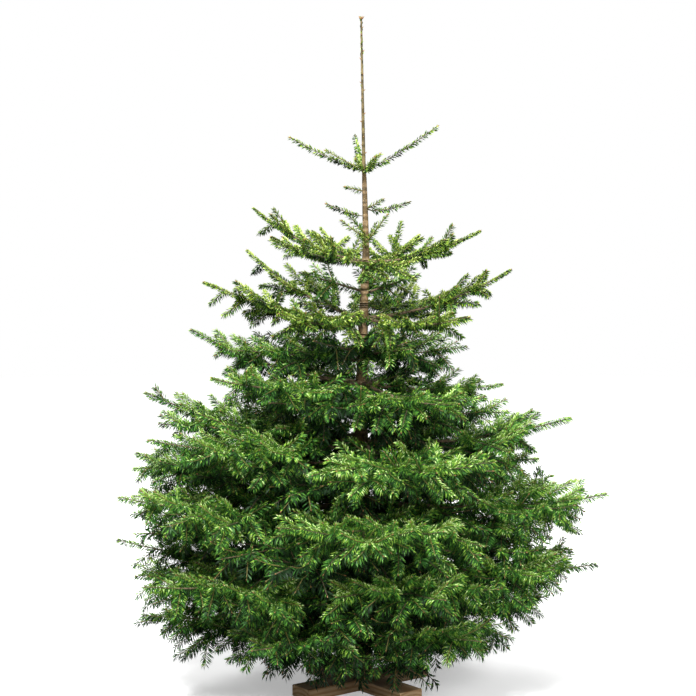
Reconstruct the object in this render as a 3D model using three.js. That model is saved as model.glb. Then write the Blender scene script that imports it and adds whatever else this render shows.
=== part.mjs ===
// A fir Christmas tree, cut at the foot and standing on a plain cross of two boards.
// Millimetres, +Z up. The origin is on the floor, under the middle of the cross.
import * as THREE from "three";

// ---- driving dimensions -------------------------------------------------
const TREE_HEIGHT = 2000;
const GAP = 0.5;

// Boards of the stand, halved into each other so that both lie flat on the floor.
const BOARD_LENGTH = 460;
const BOARD_WIDTH = 84;
const BOARD_THICKNESS = 34;

// Trunk: height above the floor, radius, and how far its middle strays from the plumb line.
const TRUNK_FOOT = BOARD_THICKNESS + GAP;
const TRUNK_STATIONS = [
  { height: TRUNK_FOOT, radius: 35, x: 0, y: 0 },
  { height: 75, radius: 31, x: 0, y: 0 },
  { height: 150, radius: 28.5, x: -1, y: 1 },
  { height: 500, radius: 23.5, x: -3, y: 4 },
  { height: 880, radius: 17.5, x: -2, y: 3 },
  { height: 1112, radius: 13.5, x: 4, y: -2 },
  { height: 1315, radius: 10, x: 12, y: -5 },
  { height: 1545, radius: 6.8, x: 6, y: -2 },
  { height: 1570, radius: 5.4, x: 5, y: -1 },
  { height: TREE_HEIGHT, radius: 2.6, x: -3, y: 2 },
];
const TRUNK_SIDES = 10;
const TRUNK_STEP = 70;

// Limbs: round tapering boughs of few sides.
const LIMB_SIDES = 6;
const LIMB_STEPS = 4;
const SHOOT_TIP_RADIUS = 1.8;
const LIMB_TAPER = 0.72;

// Foliage masses: flattened fans with a drawn-out tip and a ragged edge.
const FAN_SIDES = 8;
const FAN_RINGS = 13;
const SHOULDER_VARIES = 0.04;
const FAN_WIDEST = 1.25;
const FAN_FULLNESS = 0.66;
const FAN_HALF_WIDTH = 0.64;
const SHOOT_HALF_WIDTH = 17;
const SHOOT_HALF_HEIGHT = 13;
const INNER_END_ROUNDING = 6;
const TIP_ROUNDING = 11;
const LOBE_DEPTH = 0.24;
const LOBE_SWEEP = 0.5 / FAN_RINGS;
const WIDEST_ANGLE = 41;
const WEDGE_CLEARANCE = 0.96;

// Whorls of the trunk from the top down. For each: the height where its boughs leave the
// trunk, how far the boughs sag below a straight line, the half thickness of their foliage,
// the share of a bough at which its fan narrows to a single shoot, how far the foliage droops
// at its edges, and the boughs themselves as
// [azimuth from +X in degrees, reach, height gained at the tip, share of the bough left bare].
const WHORLS = [
  { name: "second", height: 1280, sag: 18, thickness: 27, shoulder: 0.74, droop: 14, limbRadius: 5, boughs: [
    [-8, 348, 84, 0.3],
    [58, 330, 90, 0.3],
    [116, 300, 110, 0],
    [172, 326, 164, 0.3],
    [226, 372, 70, 0.28],
    [294, 318, -8, 0.28],
  ] },
  { name: "third", height: 1112, sag: 26, thickness: 42, shoulder: 0.76, droop: 34, limbRadius: 6.5, boughs: [
    [-4, 438, 150, 0.24],
    [66, 420, 110, 0],
    [142, 446, 206, 0],
    [186, 466, 110, 0.24],
    [238, 440, 24, 0.22],
    [308, 456, 10, 0],
  ] },
  { name: "fourth", height: 918, sag: 30, thickness: 54, shoulder: 0.8, droop: 44, limbRadius: 8, boughs: [
    [6, 424, 6, 0],
    [62, 500, 90, 0],
    [118, 500, 110, 0],
    [170, 522, 158, 0],
    [220, 536, 44, 0],
    [300, 500, -24, 0],
  ] },
  { name: "fifth", height: 742, sag: 34, thickness: 60, shoulder: 0.84, droop: 54, limbRadius: 9, boughs: [
    [4, 628, 74, 0],
    [62, 610, 70, 0],
    [120, 620, 86, 0],
    [173, 664, 142, 0],
    [212, 690, 36, 0],
    [288, 620, -22, 0],
  ] },
  { name: "sixth", height: 566, sag: 38, thickness: 62, shoulder: 0.88, droop: 58, limbRadius: 10, boughs: [
    [-5, 722, 30, 0],
    [52, 670, 60, 0],
    [110, 680, 74, 0],
    [166, 718, 122, 0],
    [204, 742, 42, 0],
    [270, 670, -12, 0],
  ] },
  { name: "seventh", height: 392, sag: 38, thickness: 60, shoulder: 0.86, droop: 58, limbRadius: 10.5, boughs: [
    [-12, 690, 18, 0],
    [44, 660, 24, 0],
    [104, 680, 34, 0],
    [178, 735, 62, 0],
    [216, 728, -6, 0],
    [290, 640, 4, 0],
  ] },
  { name: "lowest", height: 236, sag: 24, thickness: 50, shoulder: 0.9, droop: 46, limbRadius: 10.5, boughs: [
    [4, 560, 30, 0],
    [66, 580, 20, 0],
    [126, 600, 20, 0],
    [188, 650, 10, 0],
    [240, 585, -4, 0],
    [306, 530, 10, 0],
  ] },
];

// Bare shoots: the four of the top whorl and two between the top and second whorls.
const SHOOTS = [
  { name: "top_bough_right", azimuth: -9, root: 1549, reach: 220, rise: 128, sag: 10, radius: 4 },
  { name: "top_bough_back", azimuth: 97, root: 1552, reach: 165, rise: 116, sag: 10, radius: 3.6 },
  { name: "top_bough_left", azimuth: 188, root: 1549, reach: 211, rise: 96, sag: 8, radius: 4 },
  { name: "top_bough_front", azimuth: 286, root: 1546, reach: 128, rise: 36, sag: 8, radius: 3.4 },
  { name: "small_bough_left", azimuth: 196, root: 1414, reach: 106, rise: 37, sag: 6, radius: 3 },
  { name: "small_bough_right", azimuth: -14, root: 1436, reach: 138, rise: 20, sag: 12, radius: 3 },
];

// ---- materials ----------------------------------------------------------
const finish = (color, roughness) => new THREE.MeshStandardMaterial({ color, roughness, metalness: 0 });
const TRUNK_BARK = finish(0x8a6240, 0.9);
const BOUGH_BARK = finish(0x8c7442, 0.85);
const FOLIAGE = finish(0x4c7a33, 0.6);
const PINE_BOARD = finish(0xc9a675, 0.7);

// ---- shape helpers ------------------------------------------------------
const UP = new THREE.Vector3(0, 0, 1);

/** Middle and radius of the trunk at a height. */
function trunkAt(height) {
  const above = TRUNK_STATIONS.findIndex((station) => station.height >= height);
  const upper = TRUNK_STATIONS[Math.max(above, 1)];
  const lower = TRUNK_STATIONS[Math.max(above, 1) - 1];
  const share = (height - lower.height) / (upper.height - lower.height);
  return {
    x: THREE.MathUtils.lerp(lower.x, upper.x, share),
    y: THREE.MathUtils.lerp(lower.y, upper.y, share),
    radius: THREE.MathUtils.lerp(lower.radius, upper.radius, share),
  };
}

/** The line of a bough: out from the trunk's axis, sagging between its root and its tip. */
function boughLine({ azimuth, root, reach, rise, sag }) {
  const trunk = trunkAt(root);
  const angle = THREE.MathUtils.degToRad(azimuth);
  const outward = new THREE.Vector3(Math.cos(angle), Math.sin(angle), 0);
  const start = new THREE.Vector3(trunk.x, trunk.y, root);
  const tip = start.clone().addScaledVector(outward, reach).addScaledVector(UP, rise);
  tip.x -= trunk.x;
  tip.y -= trunk.y;
  const middle = start.clone().lerp(tip, 0.5).addScaledVector(UP, -2 * sag);
  return new THREE.QuadraticBezierCurve3(start, middle, tip);
}

/** Share of a bough's line that lies inside the trunk, for a limb of the given root radius. */
function clearOfTrunk(line, root, reach, limbRadius) {
  const slope = line.getTangent(0).z;
  return (trunkAt(root).radius + limbRadius * Math.abs(slope) + 2 * GAP) / reach;
}

/** Moves each point of a unit solid, whose axis is Y, to its place along a line. */
function wrapAlong(geometry, line, place) {
  const position = geometry.attributes.position;
  const point = new THREE.Vector3();
  for (let i = 0; i < position.count; i += 1) {
    point.fromBufferAttribute(position, i);
    const { share, side, rise } = place(point);
    const along = line.getTangent(share);
    const across = new THREE.Vector3().crossVectors(along, UP).normalize();
    const normal = new THREE.Vector3().crossVectors(across, along);
    point.copy(line.getPoint(share)).addScaledVector(across, side).addScaledVector(normal, rise);
    position.setXYZ(i, point.x, point.y, point.z);
  }
  geometry.computeVertexNormals();
  return geometry;
}

/** A round limb that tapers from one share of its line to another. */
function limbGeometry(line, from, to, rootRadius, tipRadius) {
  const unit = new THREE.CylinderGeometry(1, 1, 1, LIMB_SIDES, LIMB_STEPS);
  return wrapAlong(unit, line, ({ x, y, z }) => {
    const grown = y + 0.5;
    const radius = THREE.MathUtils.lerp(rootRadius, tipRadius, grown);
    return { share: THREE.MathUtils.lerp(from, to, grown), side: x * radius, rise: z * radius };
  });
}

/** How full a fan of foliage is at a share of its length: a leaf shape up to its shoulder. */
function fanFullness(grown, shoulder) {
  const inFan = Math.min(grown / shoulder, 1);
  return Math.max(Math.sin(Math.PI * inFan ** FAN_WIDEST), 0) ** FAN_FULLNESS;
}

/** One mass of foliage: a flattened fan round the outer part of its bough, lobed at its edges. */
function fanGeometry(line, from, bough, whorl) {
  const unit = new THREE.SphereGeometry(1, FAN_SIDES, FAN_RINGS);
  const shoulder = whorl.shoulder + SHOULDER_VARIES * Math.sin(bough.azimuth + whorl.height);
  return wrapAlong(unit, line, ({ x, y, z }) => {
    const ringNumber = Math.round(FAN_RINGS * (1 - Math.acos(THREE.MathUtils.clamp(y, -1, 1)) / Math.PI));
    const grown = ringNumber / FAN_RINGS;
    const atPole = ringNumber === 0 || ringNumber === FAN_RINGS;
    const ring = atPole ? 1 : Math.hypot(x, z);
    const sideways = atPole ? 0 : x / ring;
    const upward = atPole ? 0 : z / ring;
    const full = fanFullness(grown, shoulder);
    const shoot = Math.min(1, INNER_END_ROUNDING * grown, TIP_ROUNDING * (1 - grown));
    const inLobe = (ringNumber + (x > 0 ? 1 : 0)) % 2;
    const station = THREE.MathUtils.lerp(from, 1, grown) * bough.reach;
    const openAngle = THREE.MathUtils.degToRad(x > 0 ? bough.openRight : bough.openLeft);
    const fan = FAN_HALF_WIDTH * bough.reach * (1 - from) * full;
    const widest = Math.min(SHOOT_HALF_WIDTH * shoot + fan, station * Math.tan(openAngle) * WEDGE_CLEARANCE);
    const halfWidth = widest * (1 - LOBE_DEPTH * full * (1 - inLobe));
    const halfHeight = SHOOT_HALF_HEIGHT * shoot + whorl.thickness * full;
    const side = sideways * halfWidth;
    const forward = LOBE_SWEEP * inLobe * full * Math.abs(sideways);
    const spread = (2 * side) / bough.reach;
    return {
      share: Math.min(THREE.MathUtils.lerp(from, 1, grown + forward), 1),
      side,
      rise: upward * halfHeight - whorl.droop * spread ** 2,
    };
  });
}

/** The trunk: level rings from a flat cut to the leader's tip. */
function trunkGeometry() {
  const length = TREE_HEIGHT - TRUNK_FOOT;
  const steps = Math.round(length / TRUNK_STEP);
  const geometry = new THREE.CylinderGeometry(1, 1, length, TRUNK_SIDES, steps);
  geometry.rotateX(Math.PI / 2);
  geometry.translate(0, 0, TRUNK_FOOT + length / 2);
  const position = geometry.attributes.position;
  for (let i = 0; i < position.count; i += 1) {
    const height = position.getZ(i);
    const trunk = trunkAt(height);
    const x = trunk.x + position.getX(i) * trunk.radius;
    const y = trunk.y + position.getY(i) * trunk.radius;
    position.setXYZ(i, x, y, height);
  }
  geometry.computeVertexNormals();
  return geometry;
}

/** One board of the stand, with half its thickness cut away where the other board crosses. */
function boardGeometry(notchFromTop) {
  const half = BOARD_LENGTH / 2;
  const notch = BOARD_WIDTH / 2 + GAP;
  const middle = BOARD_THICKNESS / 2;
  const profile = new THREE.Shape();
  profile.moveTo(-half, 0);
  if (notchFromTop) {
    profile.lineTo(half, 0);
    profile.lineTo(half, BOARD_THICKNESS);
    profile.lineTo(notch, BOARD_THICKNESS);
    profile.lineTo(notch, middle - GAP / 2);
    profile.lineTo(-notch, middle - GAP / 2);
    profile.lineTo(-notch, BOARD_THICKNESS);
  } else {
    profile.lineTo(-notch, 0);
    profile.lineTo(-notch, middle + GAP / 2);
    profile.lineTo(notch, middle + GAP / 2);
    profile.lineTo(notch, 0);
    profile.lineTo(half, 0);
    profile.lineTo(half, BOARD_THICKNESS);
  }
  profile.lineTo(-half, BOARD_THICKNESS);
  profile.closePath();
  const geometry = new THREE.ExtrudeGeometry(profile, { depth: BOARD_WIDTH, bevelEnabled: false });
  geometry.translate(0, 0, -BOARD_WIDTH / 2);
  geometry.rotateX(Math.PI / 2);
  return geometry;
}

// ---- assembly -----------------------------------------------------------
const tree = new THREE.Group();

/** Adds a named piece to a group and returns it. */
function add(group, name, geometry, material) {
  const mesh = new THREE.Mesh(geometry, material);
  mesh.name = name;
  group.add(mesh);
  return mesh;
}

add(tree, "trunk", trunkGeometry(), TRUNK_BARK);

const stand = new THREE.Group();
stand.rotation.z = THREE.MathUtils.degToRad(38);
add(stand, "stand_board_under", boardGeometry(true), PINE_BOARD);
add(stand, "stand_board_over", boardGeometry(false), PINE_BOARD).rotation.z = Math.PI / 2;
tree.add(stand);

for (const shoot of SHOOTS) {
  const line = boughLine(shoot);
  const from = clearOfTrunk(line, shoot.root, shoot.reach, shoot.radius);
  add(tree, shoot.name, limbGeometry(line, from, 1, shoot.radius, SHOOT_TIP_RADIUS), BOUGH_BARK);
}

for (const whorl of WHORLS) {
  const count = whorl.boughs.length;
  whorl.boughs.forEach(([azimuth, reach, rise, bare], index) => {
    const next = whorl.boughs[(index + 1) % count][0] + (index + 1 === count ? 360 : 0);
    const previous = whorl.boughs[(index + count - 1) % count][0] - (index === 0 ? 360 : 0);
    const bough = {
      azimuth,
      root: whorl.height,
      reach,
      rise,
      sag: whorl.sag,
      openLeft: Math.min((next - azimuth) / 2, WIDEST_ANGLE),
      openRight: Math.min((azimuth - previous) / 2, WIDEST_ANGLE),
    };
    const line = boughLine(bough);
    const clear = clearOfTrunk(line, bough.root, reach, whorl.limbRadius);
    const number = index + 1;
    const foliage = fanGeometry(line, Math.max(bare, clear), bough, whorl);
    add(tree, `${whorl.name}_whorl_foliage_${number}`, foliage, FOLIAGE);
    if (bare > 0) {
      const end = bare - (2 * GAP) / reach;
      const limb = limbGeometry(line, clear, end, whorl.limbRadius, LIMB_TAPER * whorl.limbRadius);
      add(tree, `${whorl.name}_whorl_bough_${number}`, limb, BOUGH_BARK);
    }
  });
}

export default tree;
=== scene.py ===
import math
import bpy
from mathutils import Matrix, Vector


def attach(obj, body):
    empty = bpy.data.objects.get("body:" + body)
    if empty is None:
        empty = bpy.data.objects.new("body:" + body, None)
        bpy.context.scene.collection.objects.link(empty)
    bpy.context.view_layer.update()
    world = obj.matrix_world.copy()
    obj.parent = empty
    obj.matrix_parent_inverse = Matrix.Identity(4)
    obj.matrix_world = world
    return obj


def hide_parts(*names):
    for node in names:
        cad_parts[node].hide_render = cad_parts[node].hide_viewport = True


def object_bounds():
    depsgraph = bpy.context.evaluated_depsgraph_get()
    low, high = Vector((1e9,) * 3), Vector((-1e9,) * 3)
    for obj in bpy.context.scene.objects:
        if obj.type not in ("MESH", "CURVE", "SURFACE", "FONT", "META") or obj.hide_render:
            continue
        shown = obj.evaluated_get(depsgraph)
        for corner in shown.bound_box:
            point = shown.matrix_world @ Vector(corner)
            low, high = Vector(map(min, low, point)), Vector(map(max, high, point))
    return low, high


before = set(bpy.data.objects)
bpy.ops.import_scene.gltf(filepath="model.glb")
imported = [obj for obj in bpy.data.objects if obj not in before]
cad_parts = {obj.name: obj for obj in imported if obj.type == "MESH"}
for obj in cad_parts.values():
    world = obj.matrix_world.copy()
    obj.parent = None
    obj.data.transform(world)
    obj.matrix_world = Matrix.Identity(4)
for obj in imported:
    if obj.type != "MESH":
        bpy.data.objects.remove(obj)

from types import SimpleNamespace

import bmesh
import bpy
import numpy as np
from mathutils import Matrix, Vector, noise

# Lengths are in metres throughout. Every random choice is drawn from this one source, in order.
SEED = 20
chance = np.random.default_rng(SEED)
cad_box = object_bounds()
UP = np.array([0.0, 0.0, 1.0])

# ---- the fir's habit ------------------------------------------------------
# The habit of the boughs of one whorl:
# root       height at which they leave the trunk; 0 where each bough has its own
# bough      radius of a bough at its root
# shoot      length of a year's shoot
# needle     length of a needle
# per_metre  needles to a metre of shoot
# bright     how light its sprays are, from 0 to 1; low for the lowest whorl and the weak boughs between, as painted shade
# layers     how far side twigs rise and sink, as a share of the mass's half thickness
# hang       how often a node bears a hanging shoot
# tip        needles on a bough's last shoot, as a share of the length of the others
# wide       width of the outer needles, as a share of NEEDLE_HALF_WIDTH
TERMS = ("root", "bough", "shoot", "needle", "per_metre", "bright", "layers", "hang", "tip", "wide")
HABIT_ROWS = {
    "second": (1.280, 0.0050, 0.115, 0.0185, 1500, 0.50, 0.50, 0.12, 0.62, 1.25),
    "third": (1.112, 0.0065, 0.115, 0.0210, 1400, 0.48, 0.62, 0.25, 0.62, 1.25),
    "fourth": (0.918, 0.0080, 0.114, 0.0240, 1300, 0.46, 0.74, 0.40, 0.70, 1.00),
    "fifth": (0.742, 0.0090, 0.114, 0.0260, 1250, 0.48, 0.82, 0.50, 0.75, 0.95),
    "sixth": (0.566, 0.0100, 0.112, 0.0270, 1180, 0.46, 0.90, 0.60, 0.85, 0.95),
    "seventh": (0.392, 0.0105, 0.110, 0.0270, 1160, 0.43, 0.95, 0.65, 0.90, 0.95),
    "lowest": (0.236, 0.0105, 0.106, 0.0270, 1120, 0.36, 0.95, 0.50, 0.90, 0.95),
    "between": (0, 0.0042, 0.105, 0.0310, 500, 0.20, 1.15, 0.00, 1.00, 1.25),
    "side": (0, 0.0045, 0.105, 0.0250, 860, 0.42, 1.00, 0.10, 0.85, 1.05),
}
HABITS = {whorl: dict(zip(TERMS, row)) for whorl, row in HABIT_ROWS.items()}
# Weak boughs between the whorls: height, reach, how many, and rise at the tip.
BETWEEN = [
    (1.010, 0.25, 8, 0.050),
    (0.835, 0.37, 11, 0.030),
    (0.655, 0.49, 14, 0.010),
    (0.480, 0.56, 17, 0.000),
    (0.318, 0.54, 16, -0.010),
    (0.175, 0.42, 10, -0.020),
]
# Single side boughs that stand out between the whorls: height, azimuth in degrees, reach, rise.
SIDE_BOUGHS = [
    (1.190, 198, 0.19, 0.050), (1.185, 342, 0.17, 0.055), (1.190, 70, 0.17, 0.050),
    (0.990, 3, 0.31, 0.035), (0.985, 182, 0.40, 0.030), (1.000, 300, 0.26, 0.030),
    (0.820, 352, 0.43, 0.020), (0.660, 4, 0.53, 0.020), (0.425, 352, 0.62, 0.010),
    (0.760, 187, 0.60, 0.040), (0.660, 181, 0.68, 0.020), (0.560, 176, 0.70, 0.010),
    (0.350, 188, 0.67, 0.010), (0.335, 172, 0.67, -0.010), (0.340, 204, 0.66, 0.000),
]

# Twigs by order: 0 is a bough, 1 a side twig of it, and so on. A bough's radius is in its habit.
TWIG_RADIUS = {1: 0.0030, 2: 0.0019, 3: 0.0014}
TWIG_SIDES = (8, 5, 3, 3)
TIP_RADIUS = 0.0011
STEP_LENGTH = 0.034  # between the points of a twig's line
YEAR_SHRINKS = 0.86  # a side twig's year, as a share of its parent's
SIDE_ANGLE = math.radians(52)
SHORTEST = 0.042  # no side twig is shorter than this
LOWEST_HANG = 0.175  # no hanging shoot starts lower than this
BOX_MARGIN = 0.004  # how far a free twig may end outside the CAD model's box
LOW_LIMIT = np.array(cad_box[0]) - BOX_MARGIN
HIGH_LIMIT = np.array(cad_box[1]) + BOX_MARGIN

# Room between twigs, at the rim and inside the crown. It is looked for at even steps along a new
# twig, past the stretch next to its parent, in a grid of cells.
SPACING_OUTSIDE = 0.0262
SPACING_INSIDE = 0.033
PARENT_STRETCH = 0.024
SAMPLE_STEP = 0.015
CELL = 0.05

# Needles. The lower rank takes the first share of them, the level rank goes on to the second share,
# and the upper rank takes the rest.
NEEDLE_HALF_WIDTH = 0.0016
WEAK_NEEDLE_WIDTH = 1.6  # of that half width, as is the next
INNER_NEEDLE_WIDTH = 1.5
INNER_SPARSER = 0.62
SHOULDER = 0.58  # where along its length a needle is widest
TIP_REACH = 0.014  # how far from a twig's tip its needles are shorter and point forward
NEXT_NEEDLE_TURN = 0.618
LOWER_RANK = 0.46
LEVEL_RANK = 0.68

# The leader: the heights where it and its bark, needles and buds begin, and the turn between buds.
LEADER_FOOT = 1.56
LEADER_BARK_FROM = 1.556
LEADER_NEEDLES_FROM = 1.36
LEADER_BUDS_FROM = 1.60
NEXT_BUD_TURN = 2.4
BUD_RADIUS = {"bough": 0.0022, "top_shoot": 0.0026, "beside": 0.0020, "leader_tip": 0.0033, "leader": 0.0021}

# ---- colours --------------------------------------------------------------
# The darkest tint of each set is painted shade, for the crown's inside and the undersides of sprays; the
# others are picked by age and by painted light and shade.
TINTS = {
    "needles_inner": (0.008, 0.028, 0.007),
    "needles_old": (0.017, 0.062, 0.012),
    "needles_green": (0.031, 0.120, 0.017),
    "needles_bright": (0.075, 0.215, 0.026),
    "needles_fresh": (0.215, 0.375, 0.042),
    "needles_pale": (0.480, 0.640, 0.240),
}
YOUNG_TINTS = {
    "young_needles_painted_shade": (0.009, 0.026, 0.006),
    "young_needles_old": (0.019, 0.054, 0.009),
    "young_needles_green": (0.046, 0.116, 0.016),
    "young_needles_bright": (0.112, 0.218, 0.025),
    "young_needles_fresh": (0.265, 0.370, 0.042),
    "young_needles_painted_highlight": (0.520, 0.610, 0.200),
}
# The palest tint goes only on needle ends, as a painted highlight.
HIGHLIGHT_TINT = list(TINTS).index("needles_pale")
NEEDLE_ROUGHNESS = 0.5
NEEDLE_SHEEN = 0.18
FOLIAGE_SLOTS = {"top": "young_foliage", "second": "young_foliage", "third": "young_foliage",
                 "seventh": "shaded_foliage", "lowest": "shaded_foliage", "between": "shaded_foliage"}


# ---- materials ------------------------------------------------------------
def principled(name, roughness, color=None, specular=0.5):
    """A new material and its Principled shader."""
    material = bpy.data.materials.new(name)
    material.use_nodes = True
    shader = material.node_tree.nodes["Principled BSDF"]
    shader.inputs["Roughness"].default_value = roughness
    shader.inputs["Specular IOR Level"].default_value = specular
    if color:
        shader.inputs["Base Color"].default_value = (*color, 1)
    return material, shader


def needle_materials(tints):
    """One plain material for each tint."""
    return [principled(name, NEEDLE_ROUGHNESS, color, NEEDLE_SHEEN)[0] for name, color in tints.items()]


NEEDLE_MATERIALS = needle_materials(TINTS)
YOUNG_MATERIALS = needle_materials(YOUNG_TINTS)
TWIG_MATERIALS = [
    principled("twig_young_bark", 0.6, (0.180, 0.145, 0.036))[0],
    principled("twig_year_old_bark", 0.7, (0.130, 0.088, 0.034))[0],
    principled("twig_old_bark", 0.8, (0.085, 0.060, 0.035))[0],
]


def new_node(tree, kind, **inputs):
    """A shader node, with the inputs that are named set."""
    node = tree.nodes.new(f"ShaderNode{kind}")
    for label, value in inputs.items():
        node.inputs[label.replace("_", " ")].default_value = value
    return node


def new_group(name, inputs, outputs):
    """A shader node group with the named sockets."""
    group = bpy.data.node_groups.new(name, "ShaderNodeTree")
    for label, kind, value in inputs:
        socket = group.interface.new_socket(label, in_out="INPUT", socket_type=kind)
        socket.default_value = value
    for label, kind in outputs:
        group.interface.new_socket(label, in_out="OUTPUT", socket_type=kind)
    return group, group.nodes.new("NodeGroupInput"), group.nodes.new("NodeGroupOutput")


def noise_node(group, vector, scale_from, detail):
    """A noise texture whose scale comes from a group input."""
    texture = new_node(group, "TexNoise", Detail=detail)
    group.links.new(vector, texture.inputs["Vector"])
    group.links.new(scale_from, texture.inputs["Scale"])
    return texture


def ranged(tree, value, low, high, to_low=0.0, to_high=1.0, smooth=False):
    """A map range from one span to another."""
    node = new_node(tree, "MapRange", From_Min=low, From_Max=high, To_Min=to_low, To_Max=to_high)
    node.interpolation_type = "SMOOTHSTEP" if smooth else "LINEAR"
    tree.links.new(value, node.inputs["Value"])
    return node.outputs["Result"]


def mixed(group, factor, first, second):
    """A colour mix; first and second are sockets."""
    node = new_node(group, "Mix")
    node.data_type = "RGBA"
    group.links.new(factor, node.inputs["Factor"])
    group.links.new(first, node.inputs["A"])
    group.links.new(second, node.inputs["B"])
    return node.outputs["Result"]


def combined(tree, operation, first, second):
    """A math node; second may be a number."""
    node = new_node(tree, "Math")
    node.operation = operation
    tree.links.new(first, node.inputs[0])
    if isinstance(second, float):
        node.inputs[1].default_value = second
    else:
        tree.links.new(second, node.inputs[1])
    return node.outputs[0]


def bark_group():
    """Bark: two colours in patches with upright grain and pale pores; also gives a height."""
    group, entry, leave = new_group(
        "bark_grain",
        [("Light", "NodeSocketColor", (0.4, 0.3, 0.2, 1)),
         ("Dark", "NodeSocketColor", (0.1, 0.07, 0.05, 1)),
         ("Pores", "NodeSocketColor", (0.5, 0.42, 0.3, 1)),
         ("Patch Size", "NodeSocketFloat", 40.0), ("Grain Size", "NodeSocketFloat", 260.0)],
        [("Color", "NodeSocketColor"), ("Height", "NodeSocketFloat"), ("Roughness", "NodeSocketFloat")])
    place = new_node(group, "TexCoord").outputs["Object"]
    upright = new_node(group, "Mapping", Scale=(1, 1, 0.35))
    group.links.new(place, upright.inputs["Vector"])
    patches = noise_node(group, upright.outputs["Vector"], entry.outputs["Patch Size"], 5)
    grain = noise_node(group, upright.outputs["Vector"], entry.outputs["Grain Size"], 3)
    level = new_node(group, "Mapping", Scale=(1, 1, 2.2))
    group.links.new(place, level.inputs["Vector"])
    spots = new_node(group, "TexVoronoi")
    group.links.new(level.outputs["Vector"], spots.inputs["Vector"])
    group.links.new(combined(group, "MULTIPLY", entry.outputs["Patch Size"], 2.2), spots.inputs["Scale"])
    pores = ranged(group, spots.outputs["Distance"], 0.16, 0.30, 1.0, 0.0)
    body = combined(group, "ADD", combined(group, "MULTIPLY", patches.outputs["Fac"], 0.6),
                    combined(group, "MULTIPLY", grain.outputs["Fac"], 0.45))
    worn = ranged(group, body, 0.38, 0.66)
    plain = mixed(group, worn, entry.outputs["Dark"], entry.outputs["Light"])
    faint = combined(group, "MULTIPLY", pores, 0.55)
    group.links.new(mixed(group, faint, plain, entry.outputs["Pores"]), leave.inputs["Color"])
    raised = combined(group, "ADD", body, combined(group, "MULTIPLY", pores, 0.25))
    group.links.new(raised, leave.inputs["Height"])
    group.links.new(ranged(group, worn, 0.0, 1.0, 0.95, 0.7), leave.inputs["Roughness"])
    return group


def wood_group():
    """Sawn softwood: growth rings along the board and fine fibres."""
    group, entry, leave = new_group(
        "wood_grain",
        [("Early", "NodeSocketColor", (0.6, 0.4, 0.2, 1)),
         ("Late", "NodeSocketColor", (0.4, 0.2, 0.1, 1)),
         ("Along", "NodeSocketVector", (0, 0, 0)), ("Ring Size", "NodeSocketFloat", 30.0)],
        [("Color", "NodeSocketColor"), ("Height", "NodeSocketFloat"), ("Roughness", "NodeSocketFloat")])
    wave = new_node(group, "TexWave", Distortion=2.6, Detail=3, Detail_Scale=0.6)
    wave.wave_type = "RINGS"
    wave.rings_direction = "X"
    group.links.new(entry.outputs["Along"], wave.inputs["Vector"])
    group.links.new(entry.outputs["Ring Size"], wave.inputs["Scale"])
    fibre = new_node(group, "TexNoise", Scale=220, Detail=4)
    group.links.new(entry.outputs["Along"], fibre.inputs["Vector"])
    rings = ranged(group, wave.outputs["Fac"], 0.25, 0.95)
    body = combined(group, "ADD", combined(group, "MULTIPLY", rings, 0.65),
                    combined(group, "MULTIPLY", fibre.outputs["Fac"], 0.45))
    tone = ranged(group, body, 0.15, 0.95)
    group.links.new(mixed(group, tone, entry.outputs["Early"], entry.outputs["Late"]), leave.inputs["Color"])
    group.links.new(body, leave.inputs["Height"])
    group.links.new(ranged(group, fibre.outputs["Fac"], 0.3, 0.7, 0.55, 0.8), leave.inputs["Roughness"])
    return group


BARK = bark_group()
WOOD = wood_group()


def finish_from(group, name, values, distance, strength=0.8):
    """A material whose colour, roughness and bump come from a group set with the given values."""
    material, shader = principled(name, 0.8)
    tree = material.node_tree
    look = new_node(tree, "Group")
    look.node_tree = group
    for label, value in values.items():
        look.inputs[label].default_value = value
    bump = new_node(tree, "Bump", Distance=distance, Strength=strength)
    tree.links.new(look.outputs["Color"], shader.inputs["Base Color"])
    tree.links.new(look.outputs["Roughness"], shader.inputs["Roughness"])
    tree.links.new(look.outputs["Height"], bump.inputs["Height"])
    tree.links.new(bump.outputs["Normal"], shader.inputs["Normal"])
    return material, look


def bark_material(name, light, dark, pores, patch, grain, distance):
    """Bark from the shared grain, with its own colours and relief."""
    values = {"Light": (*light, 1), "Dark": (*dark, 1), "Pores": (*pores, 1),
              "Patch Size": patch, "Grain Size": grain}
    return finish_from(BARK, name, values, distance)[0]


TRUNK_BARK = bark_material("trunk_bark", (0.265, 0.170, 0.075), (0.060, 0.044, 0.024), (0.40, 0.33, 0.20),
                           42, 320, 0.0015)
LEADER_BARK = bark_material("leader_bark", (0.165, 0.118, 0.040), (0.030, 0.025, 0.011), (0.34, 0.30, 0.14),
                            110, 500, 0.0006)
BOUGH_BARK = bark_material("bough_bark", (0.19, 0.130, 0.070), (0.060, 0.042, 0.026), (0.30, 0.235, 0.15),
                           70, 420, 0.0010)


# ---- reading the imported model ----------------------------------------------
def mesh_points(node):
    """Vertices of a CAD node, one row each."""
    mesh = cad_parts[node].data
    points = np.empty(3 * len(mesh.vertices))
    mesh.vertices.foreach_get("co", points)
    return points.reshape(-1, 3)


def read_trunk():
    """Height, middle and radius of the trunk, ring by ring."""
    points = mesh_points("trunk")
    rows = []
    for level in np.unique(points[:, 2].round(4)):
        ring = points[np.abs(points[:, 2] - level) < 5e-4]
        middle = (ring.min(0) + ring.max(0)) / 2
        radius = np.hypot(*(ring - middle)[:, :2].T).max()
        rows.append((level, middle[0], middle[1], radius))
    return np.array(rows)


TRUNK = read_trunk()


def trunk_at(height):
    """x, y and radius of the trunk at a height."""
    return [float(np.interp(height, TRUNK[:, 0], TRUNK[:, column])) for column in (1, 2, 3)]


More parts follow.
